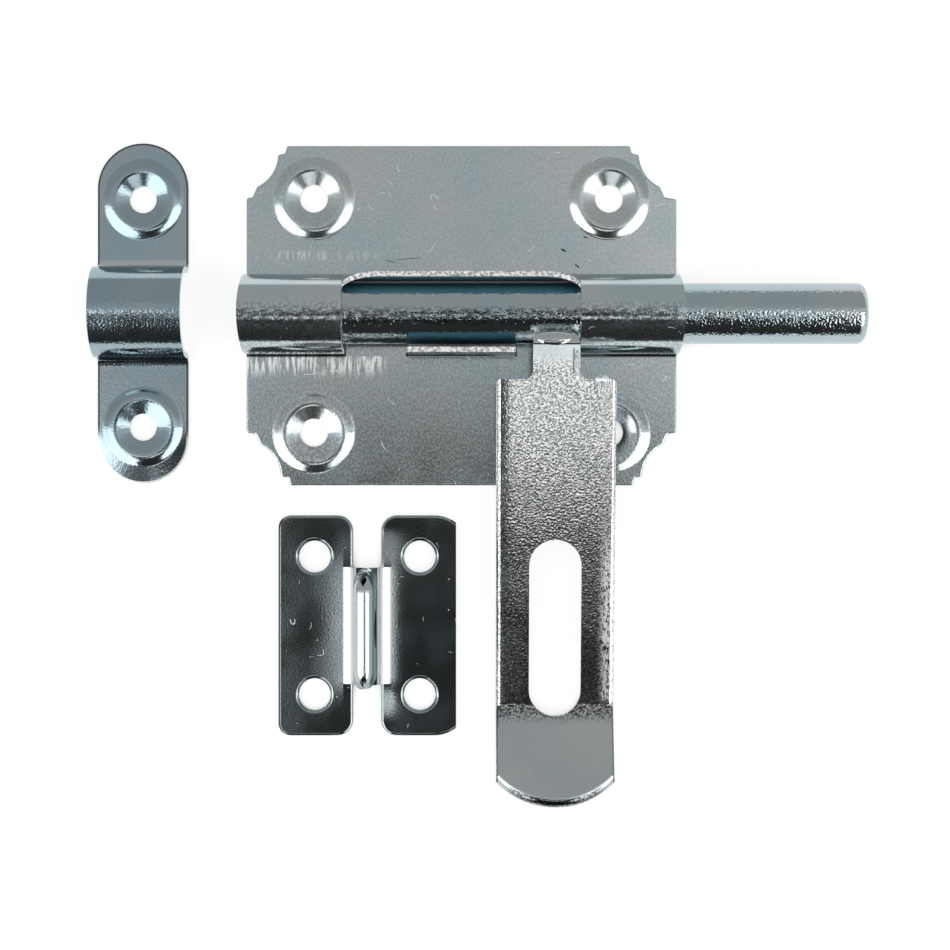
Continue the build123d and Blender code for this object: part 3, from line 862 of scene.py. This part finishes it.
class DOORBOLT_OT_burrs(bpy.types.Operator):
    """Model the two burrs beside the weld, on the neck's edge and on the shoulder."""

    bl_idname = "doorbolt.burrs"
    bl_label = "Neck burrs"

    def execute(self, context):
        looks = context.scene.doorbolt_zinc
        weld = context.scene.doorbolt_weld
        bare = zinc_material(
            "burr_zinc", looks.cut, looks, grain=1300.0, depth=0.02 * MM, rough=0.4, speckle=0.3, marks=0.0)
        burrs = (
            ("neck_burr", weld.ridge_size, weld.ridge_place),
            ("shoulder_burr", weld.lump_size, weld.lump_place),
        )
        for name, size, place in burrs:
            burr = lump_start(name, size, coarse=0.9 * MM, rise=0.4 * MM)
            put(burr, place, weld.slope)
            burr.data.materials.append(bare)
            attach(burr, "hasp")
        return {"FINISHED"}


class DOORBOLT_OT_keeper(bpy.types.Operator):
    """Finish the keeper."""

    bl_idname = "doorbolt.keeper"
    bl_label = "Keeper"

    def execute(self, context):
        looks = context.scene.doorbolt_zinc
        finish_node("keeper", zinc_material(
            "keeper_zinc", looks.keeper, looks, grain=2000.0, depth=0.035 * MM, rough=0.1, speckle=0.06,
            calm=keeper_calm, light=keeper_painted_highlights, dark=keeper_edge_shade, form=keeper_form, marks=0.2))
        return {"FINISHED"}


class DOORBOLT_OT_staple_plate(bpy.types.Operator):
    """Finish the folded staple plate."""

    bl_idname = "doorbolt.staple_plate"
    bl_label = "Staple plate"

    def execute(self, context):
        looks = context.scene.doorbolt_zinc
        finish_node("staple_plate", zinc_material(
            "staple_zinc", looks.staple, looks, grain=2200.0, depth=0.004 * MM, rough=0.075, speckle=0.12,
            form=staple_form, light=staple_bend_highlights, dark=staple_rim_shade, shade=staple_shade, inner=looks.deep,
            marks=0.8))
        return {"FINISHED"}


def studio_world(studio):
    """Grey ceiling beyond the plate, light panels on both sides and a dark gap where the camera stands."""
    world = bpy.data.worlds.new("studio")
    bpy.context.scene.world = world
    world.use_nodes = True
    tree = world.node_tree
    tree.nodes.clear()
    x, y, z = axes_of(tree, add(tree, "ShaderNodeTexCoord").outputs["Generated"])
    height = math(tree, "MAXIMUM", z, LOWEST_HEIGHT)
    across = math(tree, "DIVIDE", x, height)
    side = size_of(tree, across)
    front = math(tree, "DIVIDE", y, height)
    depth = math(tree, "MAXIMUM", math(tree, "MULTIPLY", front, -1.0), 0.01)
    behind = product(
        tree,
        fade(tree, front, *WEDGE_FRONT),
        fade(tree, math(tree, "DIVIDE", side, depth), *WEDGE_SPREAD),
    )
    camera = product(
        tree,
        fade(tree, side, *HOLE_SIDE),
        ramp(tree, front, *HOLE_FRONT),
    )
    gap = product(
        tree,
        ramp(tree, side, *GAP_INNER),
        fade(tree, side, *GAP_OUTER, GAP_DARK),
        fade(tree, front, *GAP_FRONT),
    )
    shelf = product(
        tree,
        fade(tree, across, *SHELF_INNER, SHELF_DARK),
        ramp(tree, across, *SHELF_OUTER),
        ramp(tree, front, *SHELF_FRONT),
    )
    dark = most(tree, behind, camera, gap, shelf)
    lit = product(
        tree,
        ramp(tree, side, *PANEL_SIDE, studio.front, studio.panel),
        ramp(tree, most(tree, side, depth), *PANEL_FAR, 1.0, PANEL_FADE),
        math(tree, "SUBTRACT", 1.0, dark),
    )
    glare = product(
        tree,
        ramp(tree, across, *GLARE_SIDE, 0.0, GLARE_RISE),
        fade(tree, front, *GLARE_FRONT),
    )
    ceiling = ramp(tree, front, *CEILING_FRONT, studio.ceiling * CEILING_NEAR, studio.ceiling * CEILING_DEEP)
    level = add(tree, "ShaderNodeMix", data_type="FLOAT")
    feed(tree, level.inputs[0], ramp(tree, front, *CEILING_EDGE))
    feed(tree, level.inputs[2], math(tree, "ADD", lit, STRAY_LIGHT))
    feed(tree, level.inputs[3], math(tree, "MULTIPLY_ADD", ceiling, glare, ceiling))
    path = add(tree, "ShaderNodeLightPath")
    glow = add(tree, "ShaderNodeBackground")
    feed(tree, glow.inputs["Strength"], level.outputs[0])
    white = add(tree, "ShaderNodeBackground")
    white.inputs["Strength"].default_value = 1.0
    white.inputs["Color"].default_value = (1.0, 1.0, 1.0, 1.0)
    mixed = add(tree, "ShaderNodeMixShader")
    feed(tree, mixed.inputs[0], path.outputs["Is Camera Ray"])
    feed(tree, mixed.inputs[1], glow.outputs[0])
    feed(tree, mixed.inputs[2], white.outputs[0])
    out = add(tree, "ShaderNodeOutputWorld")
    feed(tree, out.inputs["Surface"], mixed.outputs[0])


def floor_material():
    """White floor that keeps a faint shadow; in narrow gaps its glow fades as painted shade."""
    material = bpy.data.materials.new("floor_white")
    material.use_nodes = True
    tree = material.node_tree
    tree.nodes.clear()
    path = add(tree, "ShaderNodeLightPath")
    seen = math(tree, "ADD", path.outputs["Is Camera Ray"], path.outputs["Is Glossy Ray"], clamp=True)
    seen = math(tree, "ADD", seen, path.outputs["Is Transmission Ray"], clamp=True)
    matt = add(tree, "ShaderNodeBsdfDiffuse")
    matt.inputs["Color"].default_value = (0.9, 0.9, 0.9, 1.0)
    glow = add(tree, "ShaderNodeEmission")
    # Painted shade: the floor's glow fades where pieces close over it
    hidden = add(tree, "ShaderNodeAmbientOcclusion", samples=8)
    hidden.inputs["Distance"].default_value = FLOOR_GAP
    feed(tree, glow.inputs["Strength"], ramp(tree, hidden.outputs["AO"], *FLOOR_OPEN, 0.0, FLOOR_GLOW))
    mixed = add(tree, "ShaderNodeMixShader")
    feed(tree, mixed.inputs[0], math(tree, "MULTIPLY", seen, FLOOR_GLOW_SHARE))
    feed(tree, mixed.inputs[1], matt.outputs[0])
    feed(tree, mixed.inputs[2], glow.outputs[0])
    out = add(tree, "ShaderNodeOutputMaterial")
    feed(tree, out.inputs["Surface"], mixed.outputs[0])
    return material


class DOORBOLT_OT_stage(bpy.types.Operator):
    """Set up the floor, the light and the camera."""

    bl_idname = "doorbolt.stage"
    bl_label = "Stage"

    def execute(self, context):
        studio = context.scene.doorbolt_studio
        bpy.ops.object.select_all(action="DESELECT")
        bpy.ops.mesh.primitive_plane_add(size=studio.floor_size, location=(0.0, 0.0, FLOOR_DROP))
        floor = context.object
        floor.name = "floor"
        floor.data.materials.append(floor_material())
        studio_world(studio)
        lens = bpy.data.cameras.new("camera")
        lens.lens = studio.lens
        lens.sensor_width = 36.0
        lens.clip_start = 0.01
        lens.clip_end = 50.0
        camera = bpy.data.objects.new("camera", lens)
        context.scene.collection.objects.link(camera)
        camera.location = studio.camera_place
        context.scene.camera = camera
        context.scene.view_settings.view_transform = "Standard"
        return {"FINISHED"}


STEPS = (
    DOORBOLT_OT_effects,
    DOORBOLT_OT_mounting_plate,
    DOORBOLT_OT_bolt_rod,
    DOORBOLT_OT_hasp,
    DOORBOLT_OT_weld,
    DOORBOLT_OT_burrs,
    DOORBOLT_OT_keeper,
    DOORBOLT_OT_staple_plate,
    DOORBOLT_OT_stage,
)


class DOORBOLT_PT_panel(bpy.types.Panel):
    """Steps and values of the door bolt set."""

    bl_idname = "DOORBOLT_PT_panel"
    bl_label = "Door bolt set"
    bl_space_type = "VIEW_3D"
    bl_region_type = "UI"
    bl_category = "Door Bolt"

    def draw(self, context):
        column = self.layout.column()
        scene = context.scene
        for values in (scene.doorbolt_zinc, scene.doorbolt_weld, scene.doorbolt_studio):
            for name in values.__annotations__:
                column.prop(values, name)
        for step in STEPS:
            column.operator(step.bl_idname)


CLASSES = (BoltZinc, BoltWeld, BoltStudio) + STEPS + (DOORBOLT_PT_panel,)


def register():
    for kind in CLASSES:
        bpy.utils.register_class(kind)
    bpy.types.Scene.doorbolt_zinc = bpy.props.PointerProperty(type=BoltZinc)
    bpy.types.Scene.doorbolt_weld = bpy.props.PointerProperty(type=BoltWeld)
    bpy.types.Scene.doorbolt_studio = bpy.props.PointerProperty(type=BoltStudio)


def unregister():
    del bpy.types.Scene.doorbolt_studio
    del bpy.types.Scene.doorbolt_weld
    del bpy.types.Scene.doorbolt_zinc
    for kind in reversed(CLASSES):
        bpy.utils.unregister_class(kind)


def main():
    register()
    bpy.ops.doorbolt.effects()
    bpy.ops.doorbolt.mounting_plate()
    bpy.ops.doorbolt.bolt_rod()
    bpy.ops.doorbolt.hasp()
    bpy.ops.doorbolt.weld()
    bpy.ops.doorbolt.burrs()
    bpy.ops.doorbolt.keeper()
    bpy.ops.doorbolt.staple_plate()
    bpy.ops.doorbolt.stage()


if __name__ == "__main__":
    main()
